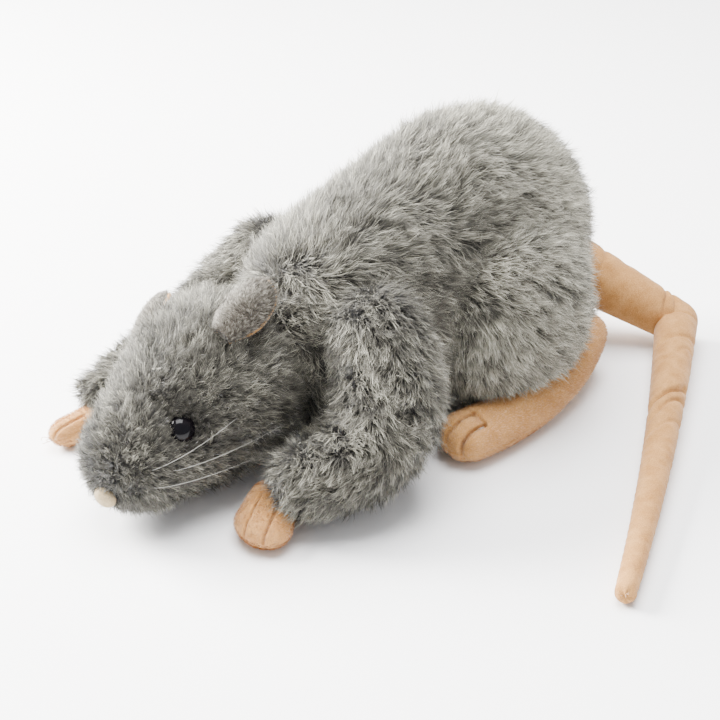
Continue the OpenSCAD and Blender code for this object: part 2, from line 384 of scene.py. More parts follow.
FUR = pile_material(
    "grey_fur",
    [
        (0.0, (0.007, 0.006, 0.005)),
        (0.5, (0.024, 0.022, 0.018)),
        (0.8, (0.070, 0.066, 0.053)),
        (1.0, (0.17, 0.16, 0.13)),
    ],
    [
        (0.0, (0.009, 0.008, 0.007)),
        (0.45, (0.050, 0.047, 0.037)),
        (0.75, (0.31, 0.295, 0.23)),
        (1.0, (0.96, 0.93, 0.78)),
    ],
)
EAR_FUZZ = pile_material(
    "ear_fuzz",
    [(0.0, (0.02, 0.017, 0.013)), (0.5, (0.055, 0.047, 0.037)), (1.0, (0.12, 0.105, 0.085))],
    [(0.0, (0.04, 0.034, 0.027)), (0.5, (0.14, 0.125, 0.10)), (1.0, (0.50, 0.47, 0.39))],
)
TAN_FUZZ = pile_material(
    "tan_fuzz",
    [(0.0, (0.38, 0.19, 0.070)), (1.0, (0.52, 0.28, 0.115))],
    [(0.0, (0.54, 0.29, 0.115)), (1.0, (0.80, 0.52, 0.28))],
)
BACKING = cloth_material("fur_backing", (0.03, 0.029, 0.027), (0.07, 0.067, 0.062), 0.8, 6, 0.3)
VELOUR = cloth_material(
    "tan_velour", (0.46, 0.228, 0.072), (0.60, 0.328, 0.120), 0.5, 7, 0.35, sheen=0.15
)
# A darker copy of the tan velour for the tail. It makes up for the nap that the tail lacks, and is partly
# painted shade for the shaded tail root.
SHADED_TAIL_VELOUR = cloth_material(
    "shaded_tail_velour", (0.38, 0.185, 0.058), (0.50, 0.265, 0.095), 0.5, 7, 0.35, sheen=0.1
)
NOSE_VELOUR = cloth_material(
    "cream_velour", (0.30, 0.23, 0.13), (0.42, 0.335, 0.205), 0.4, 3, 0.25, sheen=0.1
)
EAR_PILE = cloth_material("ear_velour", (0.11, 0.095, 0.077), (0.20, 0.175, 0.145), 0.5, 4, 0.35, sheen=0.2)
STUFFING = cloth_material("polyester_fibre", (0.66, 0.65, 0.62), (0.85, 0.84, 0.81), 0.6, 5, 0.6, sheen=0.2)
THREAD = cloth_material("sewing_thread", (0.42, 0.24, 0.12), (0.58, 0.36, 0.20), 0.3, 2, 0.1)


def plastic_material(name, low, high, roughness, coat, scratch_mm, specular=0.5):
    """Moulded plastic: a faint flow in its colour and fine handling marks in its polish."""
    mat, tree, shader = new_material(
        name, roughness, Coat_Weight=coat, Coat_Roughness=0.03, Specular_IOR_Level=specular
    )
    flow = ramp(tree, [(0.35, low), (0.65, high)])
    tree.links.new(noise(tree, 4).outputs["Fac"], flow.inputs["Fac"])
    tree.links.new(flow.outputs["Color"], shader.inputs["Base Color"])
    marks = noise(tree, scratch_mm, 5, 0.7)
    polish = ramp(tree, [(0.4, (roughness,) * 3), (0.75, (roughness * 1.8,) * 3)])
    tree.links.new(marks.outputs["Fac"], polish.inputs["Fac"])
    tree.links.new(polish.outputs["Color"], shader.inputs["Roughness"])
    return mat


EYE_PLASTIC = plastic_material(
    "black_eye", (0.002, 0.002, 0.003), (0.004, 0.003, 0.004), 0.06, 0.0, 1.5, 0.15
)
WASHER_PLASTIC = plastic_material("white_washer", (0.70, 0.70, 0.68), (0.80, 0.80, 0.78), 0.45, 0.0, 0.8)
FILAMENT = plastic_material("whisker_filament", (0.50, 0.49, 0.45), (0.68, 0.67, 0.62), 0.30, 0.3, 0.5)

# ---------------------------------------------------------------- fur


def surface_samples(obj, count, rng):
    """Random roots spread evenly over a mesh, with their outward normals."""
    mesh = obj.data
    mesh.calc_loop_triangles()
    tris = np.empty(len(mesh.loop_triangles) * 3, dtype=np.int64)
    mesh.loop_triangles.foreach_get("vertices", tris)
    tris = tris.reshape(-1, 3)
    co, no = coords(obj), normals(obj)
    a, b, c = (co[tris[:, k]] for k in range(3))
    area = np.linalg.norm(np.cross(b - a, c - a), axis=1)
    pick = rng.choice(len(tris), size=count, p=area / area.sum())
    u, v = np.sqrt(rng.random(count)), rng.random(count)
    weights = np.stack([1 - u, u * (1 - v), u * v], axis=1)[:, :, None]
    points = (co[tris[pick]] * weights).sum(axis=1)
    return points, unit((no[tris[pick]] * weights).sum(axis=1))


def area_of(obj):
    return sum(p.area for p in obj.data.polygons)


LEVELS = (0.0, 0.36, 0.70, 1.0)


def strand_mesh(name, paths, normal, width, shade, rng):
    """Flat tapered ribbons along the paths, each with two quads and a pointed tip."""
    count = len(paths)
    forward = unit(np.gradient(paths, axis=1))
    across = unit(np.cross(forward, normal[:, None, :]))
    lift = np.cross(across, forward)
    twist = rng.normal(0, 0.6, count)[:, None, None]
    across = across * np.cos(twist) + lift * np.sin(twist)
    half = 0.5 * width[:, None, None] * np.array([0.8, 1.0, 0.8])[None, :, None]
    left = paths[:, :3] - across[:, :3] * half
    right = paths[:, :3] + across[:, :3] * half
    verts = np.empty((count, 7, 3))
    verts[:, 0:6:2], verts[:, 1:6:2], verts[:, 6] = left, right, paths[:, 3]
    loops = np.array([0, 1, 3, 2, 2, 3, 5, 4, 4, 5, 6])
    starts = np.array([0, 4, 8])
    mesh = bpy.data.meshes.new(name)
    mesh.vertices.add(count * 7)
    mesh.vertices.foreach_set("co", verts.ravel())
    mesh.loops.add(count * 11)
    mesh.loops.foreach_set("vertex_index", (np.arange(count)[:, None] * 7 + loops).ravel())
    mesh.polygons.add(count * 3)
    mesh.polygons.foreach_set("loop_start", (np.arange(count)[:, None] * 11 + starts).ravel())
    mesh.update(calc_edges=True)
    level = np.array([LEVELS[k // 2] for k in loops])
    uv = np.empty((count, 11, 2))
    uv[:, :, 0] = 0.02 + 0.96 * np.clip(shade, 0, 1)[:, None]
    uv[:, :, 1] = 0.02 + 0.96 * level
    mesh.uv_layers.new(name="OFBake").data.foreach_set("uv", uv.ravel())
    face = unit(np.cross(across, forward))
    soft = unit(face * 0.55 + normal[:, None, :] * 0.45 + rng.normal(0, 0.15, (count, 4, 3)))
    vertex_normals = soft[:, [0, 0, 1, 1, 2, 2, 3]].reshape(-1, 3)
    mesh.polygons.foreach_set("use_smooth", [True] * len(mesh.polygons))
    mesh.normals_split_custom_set_from_vertices(vertex_normals.tolist())
    return link(bpy.data.objects.new(name, mesh))


def clump_of(points, size, rng):
    """The tuft that each root belongs to, from a wavy grid of cells."""
    warped = points + wavy(points, size * 2.3, int(rng.integers(1 << 30))) * size * 0.45
    cell = np.floor(warped / size + rng.random(3)).astype(np.int64)
    _, which = np.unique(cell, axis=0, return_inverse=True)
    return which.ravel()


def of_roots(value, roots):
    """A constant, or a function of the roots, as one number for each root."""
    return value(roots) if callable(value) else np.full(len(roots), float(value))


def grow(name, skin, body, flow, length_mm, density, seed, material=None, hide=(), width_mm=0.28,
         lean=0.55, lift=1.0, tuft=2.2, gather=0.42, curl=1.0, tone=0.0, bare=None, parts=1):
    """Pile on a skin. density is hairs per square millimetre, flow gives the way that the nap lies.

    length_mm and tone may be functions of the roots. Hairs are left out where bare(roots) is true,
    and deeper than a stated depth inside the forms in hide.
    """
    rng = np.random.default_rng(seed)
    roots, normal = surface_samples(skin, int(area_of(skin) / MM ** 2 * density), rng)
    keep = np.ones(len(roots), dtype=bool)
    for form, depth in hide:
        keep &= ~form.inside(roots, depth)
    if bare is not None:
        keep &= ~bare(roots)
    roots, normal = roots[keep], normal[keep]
    count = len(roots)
    reach = of_roots(length_mm, roots) * MM * rng.uniform(0.70, 1.10, count)
    swirl = wavy(roots, 26 * MM, seed + 1) * 0.30 + wavy(roots, 9 * MM, seed + 2) * 0.22
    way = flow(roots, normal) + swirl * curl
    way = unit(way - normal * (way * normal).sum(axis=1, keepdims=True))
    which = clump_of(roots, tuft * MM, rng)
    tufts = which.max() + 1
    size = np.bincount(which, minlength=tufts)[:, None]

    def tuft_mean(values):
        total = np.stack([np.bincount(which, values[:, k], tufts) for k in range(3)], axis=1)
        return (total / size)[which]

    stray = rng.normal(0, 1, (count, 3))
    kink = rng.normal(0, 1, (count, 4, 3))
    tuft_stray = rng.normal(0, 1, (tufts, 3))[which]
    rise = (lift * (0.95 + 0.10 * rng.normal(size=count)))[:, None]
    paths = np.empty((count, 4, 3))
    for k, s in enumerate(LEVELS):
        up = rise * (s - 0.24 * s * s)
        along = lean * (0.30 * s + 0.55 * s * s)
        paths[:, k] = roots + reach[:, None] * (
            normal * up + way * along
            + curl * (stray * 0.10 * s + kink[:, k] * 0.075 * s + tuft_stray * 0.16 * s * s)
        )
    shared = np.stack([tuft_mean(paths[:, k]) for k in range(4)], axis=1)
    pull = (gather * np.array(LEVELS) ** 1.6)[None, :, None] * rng.uniform(0.3, 1.2, count)[:, None, None]
    paths += (shared - paths) * pull
    floor = FLOOR_CLEAR + rng.random((count, 4)) * 0.5 * MM
    paths[:, :, 2] = np.maximum(paths[:, :, 2], floor)
    patch = wavy(roots, 34 * MM, seed + 3)[:, 0] * 0.11 + wavy(roots, 8 * MM, seed + 4)[:, 0] * 0.12
    shade = (
        MIDDLE_SHADE + patch + rng.normal(0, HAIR_SPREAD, count) + rng.normal(0, TUFT_SPREAD, tufts)[which]
    )
    shade += of_roots(tone, roots)
    width = width_mm * MM * rng.uniform(0.65, 1.35, count)
    order = np.argsort(roots[:, 0] + roots[:, 1] * 0.2)
    for k, part in enumerate(np.array_split(order, parts)):
        label = name if parts == 1 else f"{name}_{k + 1}"
        piece = strand_mesh(label, paths[part], normal[part], width[part], shade[part], rng)
        piece.data.materials.append(material or FUR)
        carried(piece, body)


# ---------------------------------------------------------------- covers and stuffing


def inflated(obj, sewn=None, swell_mm=1.5, pressure=4.0):
    """The cover swollen by its filling: cloth under pressure, held where sewn(points, normals) is 1.

    Blender's cloth is tuned for metres, so the cover is simulated ten times its size.
    """
    before, out = coords(obj), normals(obj)
    set_coords(obj, before * CLOTH_SCALE)
    if sewn is not None:
        held = obj.vertex_groups.new(name="sewn")
        for i, weight in enumerate(sewn(before / MM, out)):
            if weight > HELD_FROM:
                held.add([i], float(min(weight, 1)), "REPLACE")
    cloth = obj.modifiers.new("cloth", "CLOTH")
    settings = cloth.settings
    settings.quality = 5
    settings.mass = 0.2
    settings.tension_stiffness = settings.compression_stiffness = 12
    settings.shear_stiffness = 4
    settings.bending_stiffness = 0.4
    settings.use_pressure = True
    settings.uniform_pressure_force = pressure
    settings.effector_weights.gravity = 0
    if sewn is not None:
        settings.vertex_group_mass = "sewn"
    scene = bpy.context.scene
    for moment in range(1, CLOTH_FRAMES + 1):
        scene.frame_set(moment)
    graph = bpy.context.evaluated_depsgraph_get()
    mesh = bpy.data.meshes.new_from_object(obj.evaluated_get(graph))
    after = np.empty(len(mesh.vertices) * 3)
    mesh.vertices.foreach_get("co", after)
    bpy.data.meshes.remove(mesh)
    obj.modifiers.clear()
    obj.vertex_groups.clear()
    scene.frame_set(1)
    move = after.reshape(-1, 3) / CLOTH_SCALE - before
    far = np.linalg.norm(move, axis=1, keepdims=True)
    move *= np.minimum(1, swell_mm * MM / np.maximum(far, 1e-9))
    set_coords(obj, before + move)
    return obj


def settled(obj, low_mm):
    """Nothing of the cover reaches below a height just above the floor."""
    p = coords(obj)
    p[:, 2] = np.maximum(p[:, 2], low_mm * MM)
    set_coords(obj, p)


def dress(piece, material, body, slot, *nodes, fill=None):
    """Gives a piece its material and its body, and hides the frame's nodes that it stands for. slot is not
    used.
    """
    piece.data.materials.clear()
    piece.data.materials.append(material)
    carried(piece, body)
    if nodes:
        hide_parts(*nodes)
    return piece


def stuffing(form, name, inset, body, node, floor=None):
    """The core of fibre in a sewn part: lumpy, and a little smaller than its cover."""
    core = form.skin(name, inset, 4.5, 6, floor)
    p, n = coords(core), normals(core)
    lumps = wavy(p, 11 * MM, len(name))[:, :1]
    set_coords(core, p + n * lumps * 0.4 * MM)
    return dress(core, STUFFING, body, "stuffing", node, fill=0.7)


torso = Form(loft((CHEST_AT, CHEST_SIZE), (RUMP_AT, RUMP_SIZE)))
haunch = {s: Form([((HAUNCH_AT[0], k * HAUNCH_AT[1], HAUNCH_AT[2]), HAUNCH_SIZE)]) for s, k in SIDES.items()}
head = Form([
    (head_point(mix(NECK_AT, MUZZLE_AT, t)), mix(NECK_R, MUZZLE_R, t) * np.ones(3))
    for t in np.linspace(0, 1, 16)
])
arm = {s: Form(limb(ARMS[s]["line"], ARMS[s]["sizes"])) for s in SIDES}
eye = {s: cheek_point(s, EYE_ON_AXIS[0], EYE_RISE, EYE_DEPTH + 5) for s in SIDES}
FOLD_ENDS = [(2, 14), (-3, 46)]  # the fold above an eye: ahead of the eye and above it, in degrees
brow = {
    s: [cheek_point(s, EYE_ON_AXIS[0] - x, EYE_RISE + r, EYE_DEPTH + 6) for x, r in FOLD_ENDS] for s in SIDES
}

torso_skin = inflated(torso.skin("torso_cover", PILE_DEPTH + 1, 3.5, 8, floor=1.5))
settled(torso_skin, 1.0)
dress(torso_skin, BACKING, "torso", "fur", "body_fur_left", "body_fur_right", "belly_panel", fill=0.7)
stuffing(torso, "torso_stuffing", PILE_DEPTH + 3.5, "torso", "body_stuffing", floor=4)

HEAD_PILE = PILE_DEPTH - 2
head_skin = inflated(head.skin("head_cover", HEAD_PILE + 0.5, 2.4, 6, floor=1.5), swell_mm=1.0)
p, n = coords(head_skin), normals(head_skin)
pressed = sum(near(p, eye[s], 11) * 4.2 + near_line(p, *brow[s], 3.6) * 4.0 for s in SIDES)
set_coords(head_skin, p - n * pressed[:, None] * MM)
settled(head_skin, 1.0)
head_nodes = ["head_fur_left", "head_fur_right", "head_gusset", "chin_panel"]
dress(head_skin, BACKING, "head", "fur", *head_nodes, fill=0.75)
stuffing(head, "head_core", HEAD_PILE + 5.5, "head", "head_stuffing", floor=5)

# A sleeve stays sewn to the body at the shoulder; it is given as the torso, its arm and the shoulder and
# elbow points, and is baked in place without bending.
sleeve = {}
for side, sign in SIDES.items():
    top, elbow = vec((-4, sign * 40, 96)) * MM, vec((-28, sign * 82, 42)) * MM
    sleeve[side] = ("torso", f"arm_{side}", tuple(top), tuple(elbow))

arm_skin, haunch_skin = {}, {}
for side in SIDES:
    arm_skin[side] = inflated(arm[side].skin(f"arm_cover_{side}", PILE_DEPTH + 0.7, 3.0, 6, floor=1.5))
    settled(arm_skin[side], 1.0)
    dress(arm_skin[side], BACKING, sleeve[side], "fur", f"arm_fur_{side}", fill=0.5)
    stuffing(arm[side], f"arm_core_{side}", PILE_DEPTH + 3.0, sleeve[side], f"arm_stuffing_{side}", floor=4)
    haunch_skin[side] = inflated(haunch[side].skin(f"haunch_cover_{side}", PILE_DEPTH + 0.7, 3.0, 6, floor=6))
    settled(haunch_skin[side], 4.0)
    dress(haunch_skin[side], BACKING, f"leg_{side}", "fur", f"haunch_fur_{side}", fill=0.6)
    stuffing(haunch[side], f"haunch_core_{side}", PILE_DEPTH + 3.0, f"leg_{side}",
             f"haunch_stuffing_{side}", floor=9)


def torso_flow(p, n):
    """Back along the body, and a little down its sides."""
    down = np.zeros_like(p)
    down[:, 2] = -0.45
    return np.array([1.0, 0.0, 0.0]) + down


def head_flow(p, n):
    back = HEAD_ROT @ np.array([1.0, 0.0, 0.12])
    return np.broadcast_to(back, p.shape)


def arm_flow(side):
    line = [vec(q) * MM for q in ARMS[side]["line"]]

    def flow(p, n):
        upper, lower = line[1] - line[0], line[2] - line[1]
        t = smooth(((p - line[0]) @ unit(upper)) / np.linalg.norm(upper), 0.5, 1.3)[:, None]
        return unit(upper) * (1 - t) + unit(lower) * t

    return flow


def haunch_flow(side):
    """Spreads back and down from the hip, where the haunch is sewn to the body."""
    centre = vec((HAUNCH_AT[0] - 40, SIDES[side] * HAUNCH_AT[1] * 0.5, HAUNCH_AT[2] + 44)) * MM

    def flow(p, n):
        return unit(p - centre) + np.array([0.35, 0.0, -0.25])

    return flow


def torso_pile(p):
    """Short where the belly is pressed on the table."""
    return 4 + 9.5 * smooth(p[:, 2], 3 * MM, 26 * MM)


def torso_tone_and_painted_light(p):
    """Paler on the rump, most of all on its top: a painted highlight where the window light falls there.
    Darker over the shoulders.
    """
    rump = smooth(p[:, 0], 40 * MM, 110 * MM)
    # the rump term is a painted highlight from the window light; the last term darkens the fur everywhere
    return rump * (0.60 + 0.20 * smooth(p[:, 2], 80 * MM, 140 * MM)) - 0.28


def head_pile(p):
    """Shorter towards the muzzle, on the table, round the eyes and under the ears."""
    local = (p / MM - vec(HEAD_AT)) @ HEAD_ROT
    length = (6.5 + 4.0 * smooth(local[:, 0], -60, 0)) * (0.5 + 0.5 * smooth(p[:, 2], 3 * MM, 14 * MM))
    for side, sign in SIDES.items():
        ear = head_point((EAR_BASE[0], sign * EAR_BASE[1], EAR_BASE[2]))
        ear_end = head_point((EAR_BASE[0] + 26, sign * (EAR_BASE[1] + 2), EAR_BASE[2] + 2))
        length *= 1 - 0.72 * near(p, eye[side], 11)
        length *= 1 - 0.45 * near_line(p, *brow[side], 4)
        length *= 1 - 0.45 * near_line(p, ear, ear_end, 10)
    return length


def head_tone_and_painted_shade(p):
    """Painted shade in the eye's hollow and in the fold above it, and pale fur round the nose."""
    tone = 0.35 * near(p, head_point(NOSE_AT), 9) - 0.50
    for side in SIDES:
        # painted shade round each eye and along the fold above it
        tone = tone - 0.75 * near(p, eye[side], 12) - 0.75 * near_line(p, *brow[side], 4.5)
    return tone


def head_bare(p):
    """No pile over the domes of the eyes and the middle of the nose."""
    bare = near(p, head_point(NOSE_AT), 2.4) > 0.37
    for side in SIDES:
        bare |= near(p, eye[side], 7.2) > 0.37
    return bare


def limb_pile(p):
    return 6.0 + 5.0 * smooth(p[:, 2], 3 * MM, 20 * MM)


def haunch_pile(p):
    return 8.0 + 4.5 * smooth(p[:, 2], 8 * MM, 40 * MM)


thin = 1.0
covered = [(head, 18), (haunch["left"], 14), (haunch["right"], 14), (arm["left"], 18), (arm["right"], 18)]
grow("body_pile", torso_skin, "torso", torso_flow, torso_pile, 4.2 * thin, 11, hide=covered,
     width_mm=0.23, lean=0.85, lift=0.86, tuft=1.8, gather=0.55, tone=torso_tone_and_painted_light, parts=4)
grow("head_pile", head_skin, "head", head_flow, head_pile, 5.4 * thin, 23, hide=[(torso, 16)],
     width_mm=0.20, tuft=1.5, gather=0.5, curl=1.25, tone=head_tone_and_painted_shade, bare=head_bare, parts=2)
for side, seed in (("left", 37), ("right", 41)):
    grow(f"arm_pile_{side}", arm_skin[side], sleeve[side], arm_flow(side), limb_pile, 4.4 * thin, seed,
         hide=[(torso, 16)], width_mm=0.22, lean=0.72, lift=0.92, tuft=1.8, gather=0.5, tone=-0.17)
    grow(f"haunch_pile_{side}", haunch_skin[side], f"leg_{side}", haunch_flow(side), haunch_pile, 4.2 * thin,
         seed + 10, hide=[(torso, 16)], width_mm=0.23, lean=0.85, lift=0.86, tuft=1.8, gather=0.55, tone=0.26)

# ---------------------------------------------------------------- face


def tube(name, points, radii, sides=6):
    """A closed round thread through points, in millimetres, with a radius at each."""
    points, radii = np.asarray(points, dtype=float), np.asarray(radii, dtype=float)
    forward = unit(np.gradient(points, axis=0))
    first = unit(np.cross(forward, (0.31, 0.17, 0.93)))
    second = np.cross(forward, first)
    turn = np.arange(sides) / sides * math.tau
    ring = first[:, None] * np.cos(turn)[None, :, None] + second[:, None] * np.sin(turn)[None, :, None]
    skin = points[:, None] + ring * radii[:, None, None]
    verts = np.vstack([skin.reshape(-1, 3), points[:1], points[-1:]]) * MM
    last = len(points) - 1
    faces = [
        (i * sides + j, i * sides + (j + 1) % sides, (i + 1) * sides + (j + 1) % sides, (i + 1) * sides + j)
        for i in range(last)
        for j in range(sides)
    ]
    cap = len(points) * sides
    faces += [((j + 1) % sides, j, cap) for j in range(sides)]
    faces += [(last * sides + j, last * sides + (j + 1) % sides, cap + 1) for j in range(sides)]
    mesh = bpy.data.meshes.new(name)
    mesh.from_pydata(verts.tolist(), [], faces)
    mesh.polygons.foreach_set("use_smooth", [True] * len(mesh.polygons))
    return link(bpy.data.objects.new(name, mesh))


def sheet_mesh(name, grid):
    """A smooth skin over a grid of points, rows by columns, in metres."""
    rows, cols = grid.shape[:2]
    faces = [
        (i * cols + j, (i + 1) * cols + j, (i + 1) * cols + j + 1, i * cols + j + 1)
        for i in range(rows - 1)
        for j in range(cols - 1)
    ]
    mesh = bpy.data.meshes.new(name)
    mesh.from_pydata(grid.reshape(-1, 3).tolist(), [], faces)
    mesh.polygons.foreach_set("use_smooth", [True] * len(mesh.polygons))
    return link(bpy.data.objects.new(name, mesh))


def thickened(obj, name, thickness_mm, offset):
    """The sheet made into a closed layer of cloth. offset is -1 for below the sheet, 1 for above it."""
    solid = obj.modifiers.new("layer", "SOLIDIFY")
    solid.thickness = thickness_mm * MM
    solid.offset = offset
    rounded = obj.modifiers.new("rounded", "SUBSURF")
    rounded.levels = 1
    new = baked(obj, name)
    new.data.polygons.foreach_set("use_smooth", [True] * len(new.data.polygons))
    return new


def ear_grid(side, grown, rows=26, cols=21):
    """A leaf that is cupped round its length and curls back at the tip."""
    sign = SIDES[side]
    turn = HEAD_ROT @ rotation((sign * EAR_TURN[0], EAR_TURN[1], sign * EAR_TURN[2]))
    base = head_point((EAR_BASE[0], sign * EAR_BASE[1], EAR_BASE[2]))
    grid = np.empty((rows, cols, 3))
    for i, u in enumerate(np.linspace(0, 1, rows)):
        rounded = max(1 - u ** 3.2, 0.0004) ** (1 / 2.4)
        half = (EAR_HALF_WIDTH + grown) * rounded * (0.50 + 0.50 * math.sin(math.pi / 2 * min(u * 2.0, 1)))
        cup = 1.85 - 0.40 * min(u * 2.0, 1) - 0.25 * u
        radius = half / cup
        for j, v in enumerate(np.linspace(-1, 1, cols)):
            x = (EAR_LENGTH + grown) * u - 4
            y = radius * math.sin(cup * v)
            z = (
                radius * (math.cos(cup * v) - 1) + 5.6 + 1.6 * math.sin(math.pi * u)
                - 1.4 * u * u - 3 * (1 - u) ** 3
            )
            grid[i, j] = turn @ vec((x, y, z)) + base
    return grid * MM


def ear_flow(side):
    turn = HEAD_ROT @ rotation((SIDES[side] * EAR_TURN[0], EAR_TURN[1], SIDES[side] * EAR_TURN[2]))
    return lambda p, n: np.broadcast_to(turn @ np.array([1.0, 0.0, 0.0]), p.shape)


for side, seed in (("left", 61), ("right", 67)):
    back = thickened(sheet_mesh(f"ear_sheet_{side}", ear_grid(side, 0.0)), f"ear_outer_{side}", 1.2, 1)
    dress(back, EAR_PILE, f"ear_{side}", "ear_pile", f"ear_back_{side}")
    lining = sheet_mesh(f"lining_sheet_{side}", ear_grid(side, LINING_GROWN))
    inner = thickened(lining, f"ear_inner_{side}", 1.0, -1)
    dress(inner, VELOUR, f"ear_{side}", "velour", f"ear_lining_{side}")
    grow(f"ear_fuzz_{side}", back, f"ear_{side}", ear_flow(side), 2.6, 9.0 * thin, seed, EAR_FUZZ,
         width_mm=0.16, lean=0.9, tuft=1.2, gather=0.3)
    edge = ear_grid(side, LINING_GROWN)[:, 0] / MM, ear_grid(side, LINING_GROWN)[::-1, -1] / MM
    rim = tube(f"ear_rim_{side}", np.vstack(edge), np.full(2 * len(edge[0]), EAR_RIM_R))
    dress(rim, VELOUR, f"ear_{side}", "velour")

nose_middle = head_point(vec(NOSE_AT) + (2.6, 0, 0))
nose_pad = Form([(nose_middle, NOSE_RADII)], HEAD_ROT).skin("nose_pad", 0, 0.6, 3)
p, n = coords(nose_pad), normals(nose_pad)
stitch = near_line(p, head_point((-79, 0, -4)), head_point((-79, 0, -16)), 0.9)[:, None]
set_coords(nose_pad, p - n * stitch * NOSE_STITCH_DEPTH * MM)
dress(nose_pad, NOSE_VELOUR, "head", "velour", "nose")


def joined(pieces, name):
    """One object made of several."""
    with bpy.context.temp_override(active_object=pieces[0], selected_editable_objects=pieces):
        bpy.ops.object.join()
    pieces[0].name = pieces[0].data.name = name
    return pieces[0]


WHISKERS = [(-58, -6, 46, 3), (-53, -20, 60, -3), (-62, -28, 50, -6)]  # along, rise, length, droop
for side in SIDES:
    hairs = []
    for k, (along, rise, length, droop) in enumerate(WHISKERS):
        root, out = cheek_point(side, along, rise, 22), cheek_point(side, along, rise, 23)
        outward = unit(out - root)
        back = HEAD_ROT @ np.array([1.0, 0.0, 0.0])
        steps = np.linspace(0, 1, 14)
        path = [
            root + outward * (length * 0.62 * t - length * 0.20 * t * t) + back * length * 0.85 * t ** 1.4
            + vec((0, 0, droop)) * t * t
            for t in steps
        ]
        path = [np.maximum(q, (-999, -999, 0.6)) for q in path]
        hairs.append(tube(f"whisker_{side}_{k}", path, 0.085 * (1 - 0.7 * steps)))
    dress(joined(hairs, f"whisker_hairs_{side}"), FILAMENT, "head", "whisker", f"whiskers_{side}")

for side in SIDES:
    for node, material in ((f"eye_{side}", EYE_PLASTIC), (f"eye_washer_{side}", WASHER_PLASTIC)):
        for material_slot in bpy.data.objects[node].material_slots:
            material_slot.material = material

# ---------------------------------------------------------------- velour parts


def velour(form, name, inset, voxel, body, nodes, sewn, depth, swell_mm=1.6, material=VELOUR):
    """A sewn velour cover: it swells between the lines where sewn(points, normals) is 1.

    The lines are then drawn in by depth, in millimetres, on a mesh that is fine enough for them.
    A slim tube has no swell, because it is already as round as its cover can be.
    """
    piece = form.skin(f"{name}_rough", inset + swell_mm / 2, voxel, 4, 0.6)
    if swell_mm:
        inflated(piece, sewn, swell_mm)
    piece.modifiers.new("relax", "SMOOTH").iterations = 4
    piece.modifiers.new("finer", "SUBSURF").levels = 1
    piece = baked(piece, name)
    p, n = coords(piece), normals(piece)
    set_coords(piece, p - n * (depth * sewn(p / MM, n))[:, None] * MM)
    settled(piece, 0.3)
    return dress(piece, material, body, "velour", *nodes, fill=0.6)


def nap(name, skin, body, way, density, seed):
    """The short standing fibres of velour."""
    lie = unit(vec(way))
    grow(name, skin, body, lambda p, n: np.broadcast_to(lie, p.shape), NAP_LENGTH, density * thin, seed,
         TAN_FUZZ, width_mm=0.15, lean=0.7, curl=0.6, tuft=1.0, gather=0.1)


def toe_lines(p, n, origin, ahead, spacing, start, width, knuckle=0.0):
    """Two stitched lines that run forwards over a paw and make three toes, fainter underneath.

    knuckle is the strength of the crease across the middle toe, where both lines begin.
    """
    ahead = unit(vec(ahead))
    beside = unit(np.cross((0, 0, 1), ahead))
    along, off = (p - vec(origin)) @ ahead, (p - vec(origin)) @ beside
    upper = 0.35 + 0.65 * smooth(n[:, 2], -0.5, 0.3)
    lines = sum(np.exp(-(((off - line) / width) ** 2)) for line in (-spacing, spacing))
    between = 1 - smooth(np.abs(off), spacing, spacing + 2)
    across = np.exp(-(((along - start - 2) / (width * 1.3)) ** 2)) * between
    return upper * (lines * smooth(along, start, start + 4) + knuckle * across)


def edge_seam(p, n, height):
    """The seam between an upper and its sole."""
    return 0.4 * np.exp(-(((p[:, 2] - height) / 0.6) ** 2)) * (1 - np.abs(n[:, 2]))


for side, sign in SIDES.items():
    heel, toes = (vec(q) for q in ARMS[side]["paw"])
    low, high = (vec(q) for q in ARMS[side]["paw_sizes"])
    form = Form([(mix(heel, toes, t), mix(low, high, t)) for t in np.linspace(0, 1, 10)])

    def paw_sewing(p, n):
        lines = toe_lines(p, n, heel, (toes - heel) * (1, 1, 0), high[1] * 0.33, 2, 0.6)
        return lines + edge_seam(p, n, 6)

    paw_nodes = [f"paw_top_{side}", f"paw_sole_{side}"]
    paw = velour(form, f"paw_{side}", -0.2, 0.9, f"arm_{side}", paw_nodes, paw_sewing, 1.7, 1.2)
    nap(f"paw_nap_{side}", paw, f"arm_{side}", toes - heel, 5.0, 81)
    stuffing(form, f"paw_core_{side}", 3.0, f"arm_{side}", f"paw_stuffing_{side}", floor=2)

    line = [(q[0], sign * q[1], q[2]) for q in FOOT_LINE]
    form = Form(limb(line, FOOT_SIZES))

    def foot_sewing(p, n):
        middle_toe = vec(line[0]) + (0, sign * TOES_ASIDE, 0)
        return toe_lines(p, n, middle_toe, (-1, 0, 0), 4.6, -6, 0.85, 0.4) + edge_seam(p, n, 9)

    foot_nodes = [f"foot_top_{side}", f"foot_sole_{side}"]
    foot = velour(form, f"foot_{side}", 0.2, 1.3, f"leg_{side}", foot_nodes, foot_sewing, 4.4)
    nap(f"foot_nap_{side}", foot, f"leg_{side}", (1, 0, 0), 3.4, 83)
    stuffing(form, f"foot_core_{side}", 3.4, f"leg_{side}", f"foot_stuffing_{side}", floor=2)


